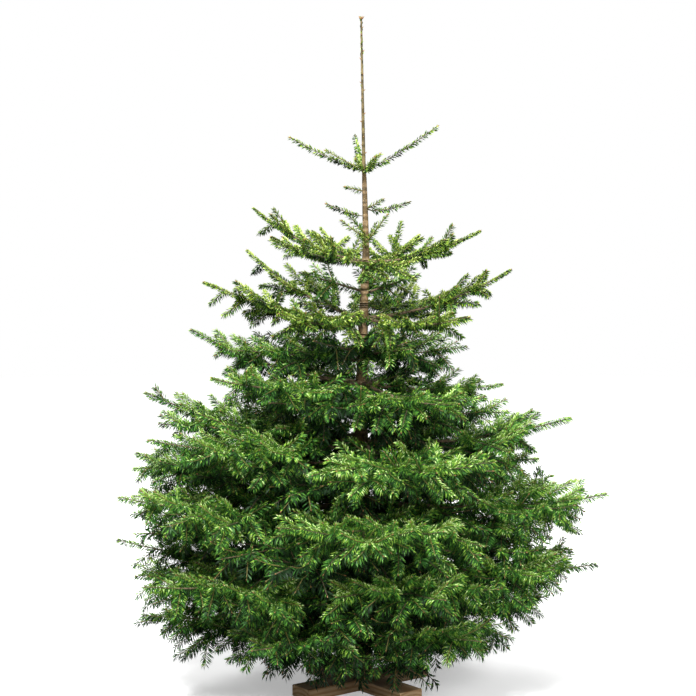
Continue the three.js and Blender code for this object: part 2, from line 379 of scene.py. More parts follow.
def read_limb(node, rings=5):
    """The line and radii of a bare limb, from the rings of its mesh."""
    points = mesh_points(node)
    x, y, _ = trunk_at(points[:, 2].mean())
    away = np.hypot(points[:, 0] - x, points[:, 1] - y)
    order = np.argsort(away)
    groups = np.array_split(points[order], rings)
    line = np.array([group.mean(0) for group in groups])
    line[0] = [x, y, line[0, 2] - (line[1, 2] - line[0, 2]) * 0.15]
    line[-1] = points[order[-1]]
    radii = np.array([np.linalg.norm(group - group.mean(0), axis=1).min() for group in groups])
    return line, np.maximum(np.minimum.accumulate(radii), TIP_RADIUS)


def surface_terms(station, side):
    """The terms of a middle surface: bent along its bough and arched across it."""
    return np.stack([np.ones_like(station), station, station ** 2, side ** 2], -1)


def mass_from(whorl, node, tip, middle, marks, half, corners_from, corners_to):
    """The facts that growth needs about one mass of foliage."""
    heading = tip[:2] / np.hypot(*tip[:2])
    return SimpleNamespace(node=node, whorl=whorl, tip=tip, heading=heading,
                           across=np.array([heading[1], -heading[0]]), middle=middle, marks=marks,
                           half=half, start=corners_from, run=corners_to - corners_from)


def read_mass(node):
    """A CAD mass as its bough's heading, its middle surface, its thickness and its outline."""
    points = mesh_points(node)
    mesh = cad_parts[node].data
    tip = points[np.hypot(points[:, 0], points[:, 1]).argmax()]
    heading = tip[:2] / np.hypot(*tip[:2])
    station = points[:, :2] @ heading
    terms = surface_terms(station, points[:, :2] @ [heading[1], -heading[0]])
    middle = np.linalg.lstsq(terms, points[:, 2], rcond=None)[0]
    height = np.abs(points[:, 2] - terms @ middle)
    marks = np.linspace(station.min(), station.max(), 12)
    near = np.abs(station[:, None] - marks) < (marks[1] - marks[0])
    half = np.array([height[near[:, k]].max() for k in range(len(marks))])
    edges = np.empty(2 * len(mesh.edges), int)
    mesh.edges.foreach_get("vertices", edges)
    ends = points[edges.reshape(-1, 2)][:, :, :2]
    return mass_from(node.split("_")[0], node, tip, middle, marks, half, ends[:, 0], ends[:, 1])


def toward(angle):
    """The direction in plan of an angle."""
    return np.array([math.cos(angle), math.sin(angle)])


def weak_mass(whorl, height, azimuth, reach, rise):
    """The room of a weak bough between two whorls: a leaf shape round its line."""
    turn = np.linspace(0, 2 * math.pi, 17)
    heading = toward(azimuth)
    across = np.array([heading[1], -heading[0]])
    forward, aside = 0.5 - 0.5 * np.cos(turn), 0.4 * np.sin(turn)
    plan = forward[:, None] * reach * heading + aside[:, None] * reach * across
    tip = np.array([*(reach * heading), height + rise])
    middle = np.array([height, rise / reach, 0.0, -0.35])
    marks = np.linspace(0, reach, 5)
    half = np.array([0.02, 0.05, 0.06, 0.05, 0.02])
    return mass_from(whorl, None, tip, middle, marks, half, plan[:-1], plan[1:])


def height_in(mass, place):
    """Height of the mass's middle surface over places in plan."""
    place = np.asarray(place)
    return surface_terms(place @ mass.heading, place @ mass.across) @ mass.middle


def half_in(mass, place):
    """Half the mass's thickness at a place in plan."""
    return float(np.interp(np.dot(place, mass.heading), mass.marks, mass.half))


def room_ahead(mass, place, angle):
    """How far a twig can go in plan before it leaves the mass's outline."""
    ahead = toward(angle)
    gap = mass.start - place
    cross = ahead[0] * mass.run[:, 1] - ahead[1] * mass.run[:, 0]
    cross = np.where(np.abs(cross) < 1e-12, 1e-12, cross)
    far = (gap[:, 0] * mass.run[:, 1] - gap[:, 1] * mass.run[:, 0]) / cross
    share = (gap[:, 0] * ahead[1] - gap[:, 1] * ahead[0]) / cross
    hits = far[(share >= 0) & (share <= 1) & (far > 0)]
    return float(hits.max()) if len(hits) else 0.0


# ---- growth ----------------------------------------------------------------
# What has grown so far: lines of boughs and twigs, rows of buds and of needles by piece, and the
# places that twigs take up, by cell of a grid.
twigs = []
boughs = []
bud_rows = []
needle_rows = {}
taken = {}


def gone_along(points):
    """How far along a line each of its points lies."""
    return np.concatenate([[0], np.cumsum(np.linalg.norm(np.diff(points, axis=0), axis=1))])


def samples_along(points):
    """Places at even steps along a line, past a first stretch that belongs to its parent."""
    gone = gone_along(points)
    at = np.arange(PARENT_STRETCH, gone[-1] + 0.001, SAMPLE_STEP)
    return np.stack([np.interp(at, gone, points[:, k]) for k in range(3)], 1)


def has_neighbour(place, spacing):
    """Whether some other twig passes within the spacing of a place."""
    x, y, z = place
    cell = [int(value // CELL) for value in place]
    for i in (-1, 0, 1):
        for j in (-1, 0, 1):
            for k in (-1, 0, 1):
                for a, b, c in taken.get((cell[0] + i, cell[1] + j, cell[2] + k), ()):
                    if (a - x) ** 2 + (b - y) ** 2 + (c - z) ** 2 < spacing ** 2:
                        return True
    return False


def crowded(points, spacing):
    """Whether a twig would lie mostly among others; if not, it takes its room."""
    places = [tuple(place) for place in samples_along(points).tolist()]
    near = sum(has_neighbour(place, spacing) for place in places)
    if near > 0.5 * len(places):
        return True
    for place in places:
        taken.setdefault(tuple(int(value // CELL) for value in place), []).append(place)
    return False


def upward_of(along):
    """The upper side of a twig that runs along a direction."""
    side = np.cross(along, UP)
    if np.linalg.norm(side) < 0.2:
        side = np.cross(along, (0.6, 0.8, 0.0))
    over = np.cross(side, along)
    return over / np.linalg.norm(over)


def add_needles(piece, points, up, needle, per_metre, tints, combed=1.0, press=0.8, width=1.0):
    """Notes the stretches of a twig that bear needles, one row for each step of its line.

    The combed share of the needles lies in ranks, the rest stands all round, pressed forward."""
    to_tip = np.linalg.norm(np.diff(points, axis=0), axis=1)[::-1].cumsum()[::-1]
    to_tip = np.append(to_tip, 0)
    needle = np.broadcast_to(needle, len(points) - 1)
    for k in range(len(points) - 1):
        if per_metre[k] > 0:
            needle_rows.setdefault(piece, []).append(
                (*points[k], *(points[k + 1] - points[k]), *up, to_tip[k], to_tip[k + 1],
                 needle[k], per_metre[k], tints[k], combed, press, width))


def pick_tint(brightness):
    """A tint's number from how bright a spray is, with a little chance."""
    level = brightness + chance.normal(0, 0.06)
    return int(np.clip(np.floor(level * 5), 0, HIGHLIGHT_TINT - 1))


def add_bud(point, along, radius):
    """Notes a bud, its heading and its radius."""
    bud_rows.append((*point, *along, radius))


def free_twig(piece, start, direction, length, radius, needle, per_metre, level, curve=0.0, combed=1.0,
              bud=False):
    """A short shoot that leaves its parent freely: upright, hanging or forward."""
    steps = max(2, round(length / STEP_LENGTH))
    share = np.linspace(0, 1, steps + 1)
    direction = np.asarray(direction, float) / np.linalg.norm(direction)
    points = start + direction * (share * length)[:, None] + UP * (curve * length * share ** 2)[:, None]
    if (points[-1] < LOW_LIMIT).any() or (points[-1] > HIGH_LIMIT).any() or crowded(points, SPACING_OUTSIDE):
        return
    radii = TIP_RADIUS + (radius - TIP_RADIUS) * (1 - share)
    twigs.append(dict(points=points, radii=radii, sides=3, age=0))
    tints = [pick_tint(level)] * steps
    add_needles(piece, points, upward_of(direction), needle, [per_metre] * steps, tints, combed)
    if bud:
        add_bud(points[-1], direction, radius)


def twig_line(mass, start, angle, length, bend, lift, end_turn):
    """Points of a twig that keeps near its mass's middle surface, and its angle at each."""
    steps = max(2, round(length / STEP_LENGTH))
    share = np.linspace(0, 1, steps + 1)
    angles = angle + bend * share
    stride = length / steps * np.stack([np.cos(angles[1:]), np.sin(angles[1:])], 1)
    plan = np.vstack([start[:2], start[:2] + np.cumsum(stride, 0)])
    begin = start[2] - height_in(mass, start[:2])
    rise = begin + (lift - begin) * share ** 1.2 + end_turn * share ** 4
    wobble = 0.0014 * np.cumsum(chance.normal(0, 1, steps + 1)) * share
    points = np.column_stack([plan, height_in(mass, plan) + rise + wobble])
    points[0] = start
    return points, angles, share


def grow(mass, habit, start, angle, length, order, lift):
    """One twig and, by its years, the side twigs that it bears.

    Twigs over the middle surface end in an upturn, those under it in a downturn. Outer and upper
    sprays are lighter and inner and under ones darker, as painted light and shade; older stretches are darker
    and have shed some of their needles."""
    is_bough = order == 0
    bend = chance.normal(0, 0.03) if is_bough else chance.normal(0, 0.09)
    thickness = half_in(mass, start[:2] + length * toward(angle)) + 0.012
    high = lift / thickness
    end_turn = 0.0 if is_bough else (0.012 if high > 0 else -0.022) * chance.uniform(0.3, 1.3)
    points, angles, share = twig_line(mass, start, angle, length, bend, lift, end_turn)
    outer = np.hypot(*points[-1, :2]) / np.hypot(*mass.tip[:2])
    spacing = SPACING_INSIDE + (SPACING_OUTSIDE - SPACING_INSIDE) * min(max((outer - 0.3) / 0.4, 0), 1)
    if crowded(points, spacing) and not is_bough:
        return
    year = habit["shoot"] * YEAR_SHRINKS ** order
    age = (1 - share[:-1]) * length / year
    thick = habit["bough"] if is_bough else TWIG_RADIUS[order] * min(1.0, 0.35 + 1.6 * length)
    radii = TIP_RADIUS + (thick - TIP_RADIUS) * (1 - share) ** (1.3 if is_bough else 0.85)
    bark_age = 0 if length < 1.2 * year else 1 + (order < 2)
    (boughs if is_bough else twigs).append(
        dict(points=points, radii=radii, sides=TWIG_SIDES[order], age=bark_age))

    # Painted light and shade: a spray is lighter at the rim and high in its mass, darker inside and
    # underneath.
    base = habit["bright"] + 0.30 * (outer - 0.72) + 0.18 * high + chance.normal(0, 0.045)
    tints = [pick_tint(base + (0.12 if old < 1 else -0.05 * min(old, 4))) for old in age]
    shed, fewest, most = (0.26, 0.0, 1.45) if is_bough else (0.10, 0.4, 1.1)
    density = habit["per_metre"] * np.clip(1.6 - shed * age, fewest, most)
    if outer < 0.5 and mass.node:
        density = density * INNER_SPARSER
    roll = chance.normal(0, 0.22)
    up = np.array([math.sin(roll) * math.sin(angle), -math.sin(roll) * math.cos(angle), math.cos(roll)])
    needle = habit["needle"] * (0.94 + 0.12 * chance.random())
    if is_bough:
        needle = np.where(age < 1, habit["tip"] * needle, needle)
    width = INNER_NEEDLE_WIDTH if outer < 0.5 else habit["wide"]
    if mass.whorl == "between" and outer < 0.75:
        width = WEAK_NEEDLE_WIDTH
    add_needles(piece_of(mass), points, up, needle, density, tints, width=width)
    if outer > 0.5 and (order < 3 or chance.random() < 0.4):
        add_bud(points[-1], points[-1] - points[-2], BUD_RADIUS["bough"])

    last_order = 3 if mass.node else 2
    if order == last_order:
        return
    twig = SimpleNamespace(points=points, angles=angles, length=length, order=order, lift=lift, year=year)
    years = int(length / year - 0.2)
    for count in range(1, years + 1):
        bear_side_twigs(mass, habit, twig, count, whole=True)
    if order < 2:
        for count in range(years + 1):
            bear_side_twigs(mass, habit, twig, count + 0.5, whole=False)


def piece_of(mass):
    """Name of the needle piece that a mass's needles are joined into."""
    if mass.node is None:
        return {"between": "between_whorls_needles", "side": "side_boughs_needles"}[mass.whorl]
    number = int(mass.node.split("_")[-1])
    if mass.whorl in ("fifth", "sixth", "seventh", "lowest"):
        return f"{mass.whorl}_whorl_needles_{'a' if number <= 3 else 'b'}"
    return f"{mass.whorl}_whorl_needles"


def side_twig_plan(order, whole):
    """What a node may bear: side, how likely, share of length and angle, lowest and highest lift."""
    if whole:
        plan = [(side, 1.0, 1.0, 1.0, 0.25, 0.95) for side in (-1, 1)]
        under = 1.0 if order == 0 else 0.65 if order == 1 else 0.0
        plan += [(side, under, 0.78, 0.78, -1.0, -0.25) for side in (-1, 1)]
        return plan
    likely = 0.8 if order == 0 else 0.45
    return [(side, likely, 0.72, 1.1, -0.85, 0.85) for side in (-1, 1)]


def bear_side_twigs(mass, habit, twig, count, whole):
    """The twigs at one place on a parent: pairs at a year's end, weak ones between, odd shoots."""
    along = twig.length - count * twig.year
    if along < 0.02 or (twig.order == 0 and along < 0.045):
        return
    where = along / twig.length * (len(twig.points) - 1)
    low = min(int(where), len(twig.points) - 2)
    place = twig.points[low] + (twig.points[low + 1] - twig.points[low]) * (where - low)
    angle = twig.angles[low]
    child_year = habit["shoot"] * YEAR_SHRINKS ** (twig.order + 1)
    for side, likely, size, wide, lowest, highest in side_twig_plan(twig.order, whole):
        if chance.random() > likely:
            continue
        wanted = child_year * (count + 0.15) * size * chance.uniform(0.85, 1.15)
        turn = angle + side * (SIDE_ANGLE * wide + chance.normal(0, 0.09))
        reach = min(wanted, 0.96 * room_ahead(mass, place[:2], turn))
        if reach < SHORTEST:
            continue
        spread = habit["layers"] * half_in(mass, place[:2] + reach * toward(turn))
        lift = chance.uniform(lowest, highest) * spread
        if twig.order > 0:
            lift = np.clip(twig.lift + 0.65 * lift, -spread, spread)
        grow(mass, habit, place, turn, reach, twig.order + 1, lift)
    if twig.order < 2:
        odd_shoots(mass, habit, place, angle)


def odd_shoots(mass, habit, place, angle):
    """Now and then a hanging or an upright shoot at a node."""
    outer = np.hypot(*place[:2]) / np.hypot(*mass.tip[:2])
    if outer < 0.35:
        return
    luck = chance.random()
    turn = angle + chance.uniform(-1.2, 1.2)
    plan = np.array([*toward(turn), 0.0])
    # The boughs that head left hang more, and low down their hanging shoots are longer.
    hang = habit["hang"] * (1 - 0.5 * mass.heading[0]) * (1.3 if outer > 0.7 else 0.8)
    is_high = place[2] > 1.1
    if luck < hang and place[2] > LOWEST_HANG:
        length = chance.uniform(0.05, 0.095) * (1.3 if place[2] < 0.6 and mass.heading[0] < -0.6 else 1.0)
        # Painted shade: a hanging shoot is a little darker than its whorl, and darker further in.
        level = habit["bright"] - 0.06 + 0.25 * (outer - 0.6)
        free_twig(piece_of(mass), place, plan + UP * chance.uniform(-1.1, -0.4), length, 0.0020,
                  habit["needle"], habit["per_metre"], level, curve=0.12)
    elif luck > (0.86 if is_high else 0.92) and mass.node:
        length = chance.uniform(0.045, 0.075) * (1.25 if is_high else 1.0)
        free_twig(piece_of(mass), place, 0.7 * plan + UP, length, 0.0022,
                  habit["needle"], habit["per_metre"], habit["bright"], combed=0.4, bud=True)


def grow_mass(mass):
    """The bough inside a mass, from the trunk to its tip, with all that it bears."""
    habit = HABITS[mass.whorl]
    height = habit["root"] or mass.middle[0]
    start = np.array([*trunk_at(height)[:2], height])
    along = mass.tip[:2] - start[:2]
    grow(mass, habit, start, math.atan2(along[1], along[0]), float(np.hypot(*along)), 0, 0.0)


MASSES = [read_mass(node) for node in sorted(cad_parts) if "_foliage_" in node]
for mass in MASSES:
    grow_mass(mass)
for height, azimuth, reach, rise in SIDE_BOUGHS:
    grow_mass(weak_mass("side", height, math.radians(azimuth), reach, rise))
for height, reach, many, rise in BETWEEN:
    first = chance.uniform(0, 2 * math.pi)
    for count in range(many):
        azimuth = first + 2 * math.pi * (count + chance.uniform(-0.25, 0.25)) / many
        level = height + chance.uniform(-0.030, 0.030)
        vary = chance.uniform(0.78, 1.08) * (1 - 0.13 * math.cos(azimuth))
        grow_mass(weak_mass("between", level, azimuth, reach * vary, rise))


# ---- the top of the tree -----------------------------------------------------
TOP_SHOOTS = sorted(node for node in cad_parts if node.startswith(("top_bough", "small_bough")))
top_lines = []

# Short sprays low on the top shoots, on the small boughs and on the trunk below them:
# height, azimuth in degrees, rise of its direction, length, brightness.
SPRAYS = [
    (1.552, 20, 0.9, 0.060, 0.85), (1.556, 330, 0.7, 0.050, 0.80), (1.553, 200, 0.35, 0.120, 0.75),
    (1.553, 215, 0.25, 0.135, 0.62), (1.550, 250, 0.3, 0.070, 0.72), (1.553, 110, 0.6, 0.070, 0.62),
    (1.489, 184, 0.15, 0.050, 0.60), (1.437, 352, 0.45, 0.050, 0.66), (1.366, 150, 0.9, 0.075, 0.56),
    (1.352, 205, 0.55, 0.080, 0.58), (1.342, 330, 1.0, 0.090, 0.60), (1.335, 60, 0.9, 0.075, 0.50),
    (1.325, 100, 0.8, 0.090, 0.46), (1.318, 265, 0.7, 0.070, 0.62),
]


def even_limb(line, radii, step):
    """A limb's line rounded by a cubic and cut in even short steps, with a radius for each point."""
    place = gone_along(line)
    many = max(3, round(place[-1] / step))
    at = np.linspace(0, place[-1], many + 1)
    degree = min(3, len(line) - 1)
    points = np.stack([np.polyval(np.polyfit(place, line[:, k], degree), at) for k in range(3)], 1)
    share = np.linspace(0, 1, len(points))
    return points, np.interp(share, np.linspace(0, 1, len(radii)), radii)


def dress_top_shoot(node):
    """Needles and three buds on one of the bare shoots of the top."""
    points, radii = even_limb(*read_limb(node), 0.016)
    top_lines.append((points, radii))
    share = np.linspace(0, 1, len(points))
    needle, level = (0.017, 0.46) if node.startswith("small") else (0.016, 0.50)
    along = points[-1] - points[0]
    along /= np.linalg.norm(along)
    tints = [pick_tint(level + chance.choice([-0.25, 0.0, 0.20])) for _ in share[:-1]]
    density = 1050 * np.clip(1.35 - 0.8 * share[:-1], 0.55, 1.0)
    density[0] = 0
    add_needles("top_needles", points, upward_of(along), needle, density, tints, combed=0.75, press=0.7,
                width=1.45)
    add_bud(points[-1], along, BUD_RADIUS["top_shoot"])
    side = np.cross(along, UP)
    for turn in (-0.9, 0.9):
        add_bud(points[-1] - 0.004 * along, along + turn * side, BUD_RADIUS["beside"])


def dress_leader():
    """Short needles pressed to the leader and to the trunk below it, and the leader's buds."""
    top = TRUNK[-1, 0]
    heights = np.linspace(LEADER_NEEDLES_FROM, top - 0.004, 42)
    for low, high in zip(heights[:-1], heights[1:]):
        below, above = trunk_at(low), trunk_at(high)
        needle, per_metre, press = (0.013, 300, 0.40) if low > LEADER_FOOT else (0.012, 150, 0.75)
        run = np.array([above[0] - below[0], above[1] - below[1], high - low])
        needle_rows.setdefault("top_needles", []).append(
            (below[0], below[1], low, *run, 0.6, 0.8, 0.0, 0.3, 0.3, needle, per_metre,
             pick_tint(chance.choice([0.15, 0.45, 0.70])), 0.0, press, 1.3))
    tip = np.array([*trunk_at(top)[:2], top - 0.005])
    for turn in np.linspace(0, 2 * math.pi, 5, endpoint=False):
        add_bud(tip, np.array([*(0.9 * toward(turn)), 1.0]), BUD_RADIUS["leader_tip"])
    for count, height in enumerate(np.linspace(LEADER_BUDS_FROM, top - 0.03, 17)):
        x, y, radius = trunk_at(height)
        out = np.array([*toward(NEXT_BUD_TURN * count), 0.0])
        add_bud(np.array([x, y, height]) + 0.7 * radius * out, out + 0.9 * UP, BUD_RADIUS["leader"])


for node in TOP_SHOOTS:
    dress_top_shoot(node)
dress_leader()
for height, azimuth, rise, length, level in SPRAYS:
    x, y, radius = trunk_at(height)
    out = np.array([*toward(math.radians(azimuth)), 0.0])
    free_twig("top_needles", np.array([x, y, height]) + out * radius * 0.6, out + rise * UP, length, 0.0026,
              0.017, 1150, level, curve=0.10, combed=0.7, bud=True)


# ---- needles ----------------------------------------------------------------
def unit(vectors):
    """Rows of vectors, each made one long."""
    return vectors / np.maximum(np.linalg.norm(vectors, axis=1, keepdims=True), 1e-9)


def linked(name, data):
    """A new object of the scene."""
    made = bpy.data.objects.new(name, data)
    bpy.context.scene.collection.objects.link(made)
    return made


def mesh_from_arrays(name, vertices, triangles, materials, material_index=None):
    """A mesh object of many thousands of small things, with its materials."""
    mesh = bpy.data.meshes.new(name)
    mesh.vertices.add(len(vertices))
    mesh.vertices.foreach_set("co", vertices.astype(np.float32).ravel())
    mesh.loops.add(3 * len(triangles))
    mesh.loops.foreach_set("vertex_index", triangles.astype(np.int32).ravel())
    mesh.polygons.add(len(triangles))
    mesh.polygons.foreach_set("loop_start", np.arange(0, 3 * len(triangles), 3, dtype=np.int32))
    mesh.polygons.foreach_set("loop_total", np.full(len(triangles), 3, np.int32))
    if material_index is not None:
        mesh.polygons.foreach_set("material_index", material_index.astype(np.int32))
    mesh.update(calc_edges=True)
    for material in materials:
        mesh.materials.append(material)
    return linked(name, mesh)


def ranked(ranks, lower, level, upper, loose):
    """A value for each needle: one of three for the combed ranks, or that of the loose needles."""
    return np.select(ranks, [lower, level, upper], loose)


def needles_piece(name, rows):
    """Needles on their twigs: combed to both sides and over the top, as blades of two faces."""
    rows = np.array(rows)
    start, run, up = rows[:, 0:3], rows[:, 3:6], rows[:, 6:9]
    tip_from, tip_to, needle, per_metre, tint, combed, press, width = rows[:, 9:17].T
    length = np.linalg.norm(run, axis=1)
    count = np.floor(length * per_metre + chance.random(len(rows))).astype(int)
    owner = np.repeat(np.arange(len(rows)), count)
    total = len(owner)
    number = np.arange(total) - (np.cumsum(count) - count)[owner]
    place = (number + chance.uniform(0.3, 0.7, total)) / count[owner]
    root = start[owner] + run[owner] * place[:, None]
    along = unit(run)[owner]
    across = unit(np.cross(along, up[owner]))
    over = np.cross(across, along)
    near_tip = np.exp(-(tip_to[owner] + (tip_from - tip_to)[owner] * (1 - place)) / TIP_REACH)

    # The rank of each needle, and from it how it stands round its twig and leans away from it.
    kind = (number * NEXT_NEEDLE_TURN + chance.random(len(rows))[owner]) % 1
    lower = kind < LOWER_RANK * combed[owner]
    level = ~lower & (kind < LEVEL_RANK * combed[owner])
    upper = ~lower & ~level & (kind < combed[owner])
    ranks = [lower, level, upper]
    side = np.where((number + chance.integers(0, 2, len(rows))[owner]) % 2 == 0, -1.0, 1.0)
    raised = ranked(ranks, chance.normal(-0.72, 0.22, total), chance.normal(0.0, 0.28, total),
                    chance.uniform(0.50, 1.57, total), chance.uniform(-math.pi, math.pi, total))
    lean = ranked(ranks, chance.uniform(1.04, 1.18, total), chance.uniform(0.92, 1.10, total),
                  chance.uniform(0.72, 0.95, total), press[owner] * chance.uniform(0.7, 1.3, total))
    lean = lean * (1 - 0.50 * near_tip)
    radial = across * (side * np.cos(raised))[:, None] + over * np.sin(raised)[:, None]
    point = along * np.cos(lean)[:, None] + radial * np.sin(lean)[:, None]

    # Its size, the twist that shows its flat side from all round, and its droop.
    size = needle[owner] * chance.uniform(0.90, 1.07, total) * np.where(upper, 0.80, 1.0)
    size = size * (1 - 0.20 * near_tip)
    wide = unit(np.cross(point, over) + 0.05 * along)
    face = np.cross(wide, point)
    twist = chance.uniform(0.30, 0.95, total) * chance.choice([-1.0, 1.0], total)
    wide = wide * np.cos(twist)[:, None] + face * np.sin(twist)[:, None]
    half = NEEDLE_HALF_WIDTH * width[owner] * chance.uniform(0.85, 1.15, total)
    droop = ranked(ranks, chance.uniform(0.12, 0.26, total), chance.uniform(0.15, 0.32, total),
                   chance.uniform(0.05, 0.18, total), 0.0)
    curl = -over * (size * droop)[:, None]

    shoulder = root + point * (size * SHOULDER)[:, None]
    corners = np.stack([
        root,
        shoulder - wide * half[:, None] + 0.25 * curl,
        shoulder + wide * half[:, None] + 0.25 * curl,
        root + point * size[:, None] + curl,
    ], 1).reshape(-1, 3)
    first = 4 * np.arange(total)[:, None]
    triangles = np.concatenate([first + [0, 1, 2], first + [1, 3, 2]], 1).reshape(-1, 3)

    # Painted shade and light: lower needles are darker than their spray, some upper ones lighter, and ends
    # are often lighter, a painted highlight.
    shade = tint[owner].astype(int)
    odd = chance.random(total)
    shade = np.where(lower, np.maximum(shade - np.where(odd < 0.30, 2, 1), 0), shade)
    shade = np.where(upper & (odd > 0.50), np.minimum(shade + 1, HIGHLIGHT_TINT - 1), shade)
    highlight_step = (chance.random(total) < 0.80).astype(int) + (chance.random(total) < 0.50)
    end = np.where(shade >= 1, np.minimum(shade + highlight_step, HIGHLIGHT_TINT), shade)
    materials = YOUNG_MATERIALS if foliage_slot(name) == "young_foliage" else NEEDLE_MATERIALS
    return mesh_from_arrays(name, corners, triangles, materials, np.stack([shade, end], 1).ravel())


def foliage_slot(name):
    """The finish of a needle piece, from the whorl that its name begins with."""
    return FOLIAGE_SLOTS.get(name.split("_")[0], "foliage")


# ---- twigs, buds and boughs --------------------------------------------------
def rings_round(across, over, sides):
    """For each pair of directions, a ring of that many directions in their plane."""
    turn = np.linspace(0, 2 * math.pi, sides, endpoint=False)
    return np.cos(turn)[None, :, None] * across[:, None] + np.sin(turn)[None, :, None] * over[:, None]


def tubes(name, lines, materials):
    """Twigs as closed tapering tubes, joined into one piece."""
    vertices, triangles, ages, base = [], [], [], 0
    for line in lines:
        points, radii, sides = line["points"], line["radii"], line["sides"]
        rings = len(points)
        along = unit(np.gradient(points, axis=0))
        across = unit(np.cross(along, (0.02, 0.01, 1.0)))
        over = np.cross(across, along)
        ring = rings_round(across, over, sides)
        body = points[:, None] + ring * radii[:, None, None]
        nose = points[-1] + along[-1] * radii[-1] * 1.5
        vertices.append(np.vstack([body.reshape(-1, 3), nose]))
        ring_from = np.arange(rings - 1)[:, None] * sides
        here = ring_from + np.arange(sides)
        beside = ring_from + (np.arange(sides) + 1) % sides
        sheet = np.stack([here, beside, here + sides, beside, beside + sides, here + sides], -1)
        last = (rings - 1) * sides
        end = np.array([[last + j, last + (j + 1) % sides, rings * sides] for j in range(sides)])
        foot = np.array([[0, j + 1, j] for j in range(1, sides - 1)])
        triangles.append(np.vstack([sheet.reshape(-1, 3), end, foot]) + base)
        ages.append(np.full(len(triangles[-1]), line["age"]))
        base += rings * sides + 1
    piece = mesh_from_arrays(name, np.vstack(vertices), np.vstack(triangles), materials, np.concatenate(ages))
    piece.data.shade_smooth()
    return piece


def buds_piece(name, rows, material):
    """Buds as small pointed spindles of a few faces."""
    rows = np.array(rows)
    point, along, radius = rows[:, 0:3], unit(rows[:, 3:6]), rows[:, 6]
    across = unit(np.cross(along, (0.31, 0.17, 0.93)))
    over = np.cross(across, along)
    sides = 5
    ring = rings_round(across, over, sides)
    belly = (point + along * (1.3 * radius)[:, None])[:, None] + ring * radius[:, None, None]
    foot = point[:, None]
    nose = (point + along * (4.2 * radius)[:, None])[:, None]
    vertices = np.concatenate([foot, belly, nose], 1).reshape(-1, 3)
    faces = [[0, 1 + (j + 1) % sides, 1 + j] for j in range(sides)]
    faces += [[1 + j, 1 + (j + 1) % sides, sides + 1] for j in range(sides)]
    triangles = (np.arange(len(rows))[:, None, None] * (sides + 2) + np.array(faces)).reshape(-1, 3)
    piece = mesh_from_arrays(name, vertices, triangles, [material])
    piece.data.shade_smooth()
    return piece


def ring_frame(point, along, radius, level):
    """Where a ring of a limb lies: its middle, its tilt and its radius."""
    tilt = Matrix.Identity(4) if level else Vector(along).to_track_quat("Z", "Y").to_matrix().to_4x4()
    return Matrix.Translation(point) @ tilt @ Matrix.Scale(radius, 4)


def draw_limb(limb, points, radii, sides, level=False):
    """Extrudes a closed limb ring by ring along a line; returns its vertices."""
    along = unit(np.gradient(points, axis=0))
    frames = [ring_frame(p, a, r, level) for p, a, r in zip(points, along, radii)]
    made = bmesh.ops.create_circle(limb, cap_ends=True, segments=sides, radius=1.0, matrix=frames[0])
    verts = list(made["verts"])
    face = verts[0].link_faces[0]
    for before, after in zip(frames[:-1], frames[1:]):
        out = bmesh.ops.extrude_face_region(limb, geom=[face])["geom"]
        face = next(item for item in out if isinstance(item, bmesh.types.BMFace))
        new = [item for item in out if isinstance(item, bmesh.types.BMVert)]
        bmesh.ops.transform(limb, matrix=after @ before.inverted(), verts=new)
        verts += new
    return verts


def finish_limbs(limb, name, materials, smooth=True):
    """Turns drawn limbs into a piece of the tree."""
    bmesh.ops.recalc_face_normals(limb, faces=limb.faces)
    data = bpy.data.meshes.new(name)
    limb.to_mesh(data)
    limb.free()
    for material in materials:
        data.materials.append(material)
    if smooth:
        data.shade_smooth()
    return linked(name, data)


def bark_relief(place, grain, lumps):
    """Height of the bark over its limb: long ridges and rounded lumps."""
    stretched = Vector((place.x * grain, place.y * grain, place.z * grain * 0.22))
    ridges = 1 - abs(noise.noise(stretched)) * 2
    lump = noise.noise(Vector((place.x * lumps * 1.8, place.y * lumps * 1.8, place.z * lumps * 0.8)))
    return 0.55 * ridges + 0.9 * max(lump, 0.0)


def relieve(verts, centre_of, depth_of, grain, lumps):
    """Moves each vertex of a limb out by the relief of its bark."""
    for vert in verts:
        middle = centre_of(vert.co)
        out = vert.co - middle
        if out.length > 1e-6:
            vert.co += out.normalized() * depth_of(vert.co) * bark_relief(vert.co, grain, lumps)


def trunk_piece():
    """The trunk with collars under its boughs and the bark's relief, closed at both ends."""
    foot, top = TRUNK[0, 0], TRUNK[-1, 0]
    heights = np.unique(np.concatenate([np.arange(foot, LEADER_FOOT, 0.0062),
                                        np.arange(LEADER_FOOT, top, 0.009), [top]]))
    where = np.array([trunk_at(height) for height in heights])
    points = np.column_stack([where[:, :2], heights])
    limb = bmesh.new()
    verts = draw_limb(limb, points, where[:, 2] * 0.985, 28, level=True)
    roots = np.array([line["points"][0] + (line["points"][1] - line["points"][0]) * 0.35 for line in boughs])
    girth = np.array([line["radii"][0] for line in boughs])

    def centre_of(place):
        x, y, _ = trunk_at(place.z)
        return Vector((x, y, place.z))

    def depth_of(place):
        if place.z < foot + 1e-4:
            return 0.0
        return 0.0002 + 0.0010 * min(1.0, max(0.0, (1.45 - place.z) / 1.2))

    for vert in verts:
        gap = np.linalg.norm(roots - np.array(vert.co), axis=1)
        swell = float((0.30 * girth * np.exp(-(gap / (2.0 * girth + 0.010)) ** 2)).max())
        out = vert.co - centre_of(vert.co)
        if out.length > 1e-6 and vert.co.z > foot + 0.004:
            vert.co += out.normalized() * swell
    relieve(verts, centre_of, depth_of, 170, 85)
    for face in limb.faces:
        face.material_index = 1 if face.calc_center_median().z > LEADER_BARK_FROM else 0
    return finish_limbs(limb, "trunk_with_bark", [TRUNK_BARK, LEADER_BARK])


